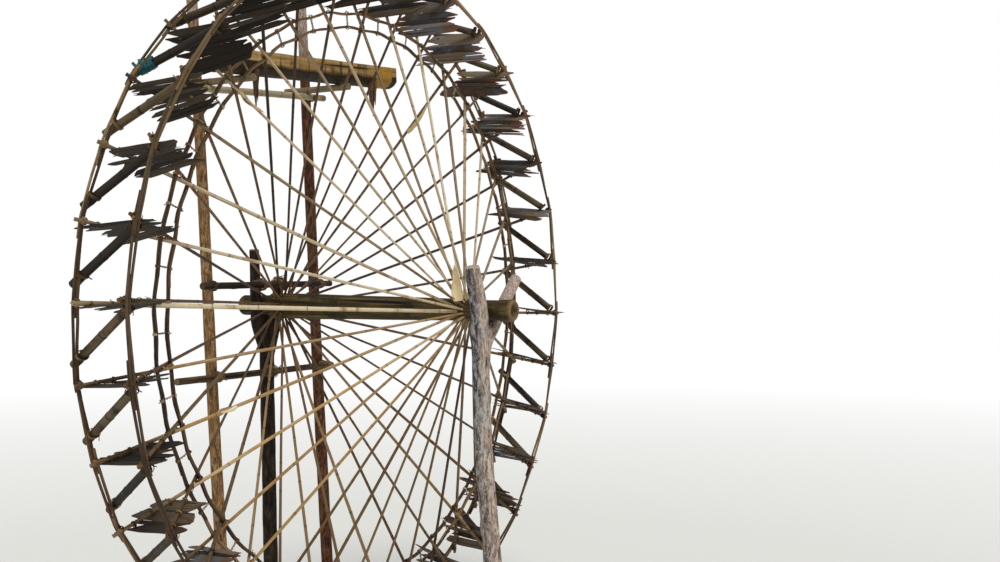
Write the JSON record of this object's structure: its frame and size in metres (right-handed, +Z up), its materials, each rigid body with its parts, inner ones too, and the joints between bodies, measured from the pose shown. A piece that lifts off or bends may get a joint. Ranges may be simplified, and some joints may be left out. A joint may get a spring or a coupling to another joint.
{
  "type": "bamboo noria water wheel",
  "caption": "Bamboo lifting water wheel with crossed spokes, slat paddles and slanted tubes, turning in forked posts beside a hewn trough.",
  "frame": {"origin": "on the floor, straight below the middle of the axle", "axes": "+X along the wheel, +Y along the axle from the near side to the far side, +Z up"},
  "size_m": [5.1257, 2.4, 5.2622],
  "materials": {
    "near_post_bark": "bark",
    "far_post_bark": "bark",
    "left_pole": "weathered",
    "right_pole": "weathered",
    "dark_bar": "weathered",
    "lower_bar": "weathered",
    "bearer_cane": "satin",
    "trough_wood": "hewn",
    "axle_log": "worn",
    "near_cane": "satin",
    "far_cane": "satin",
    "hoop_cane": "satin",
    "tie_cane": "satin",
    "slat_cane": "dry",
    "tube_cane": "satin"
  },
  "bodies": {
    "stand": {"near_post": "near_post_bark", "far_post": "far_post_bark", "left_trough_post": "left_pole", "right_trough_post": "right_pole", "keeper_bar": "dark_bar", "lower_bar": "lower_bar", "trough_rail": "bearer_cane", "left_bearer": "bearer_cane", "right_bearer": "bearer_cane", "trough": "trough_wood"},
    "wheel": {"axle": "axle_log", "near_spokes_left": "near_cane", "near_spokes_right": "near_cane", "far_spokes_left": "far_cane", "far_spokes_right": "far_cane", "near_hoop": "hoop_cane", "far_hoop": "hoop_cane", "outer_tie_hoop": "tie_cane", "inner_tie_hoop": "tie_cane", "tie_sticks": "tie_cane", "left_upper_paddles": "slat_cane", "left_lower_paddles": "slat_cane", "right_lower_paddles": "slat_cane", "right_upper_paddles": "slat_cane", "top_tubes": "tube_cane", "left_tubes": "tube_cane", "right_tubes": "tube_cane"}
  },
  "joints": [
    {"name": "wheel_spin", "type": "hinge", "parent": "stand", "child": "wheel", "pos_m": [0, 0, 2.7], "axis": [0, 1, 0], "continuous": true}
  ]
}
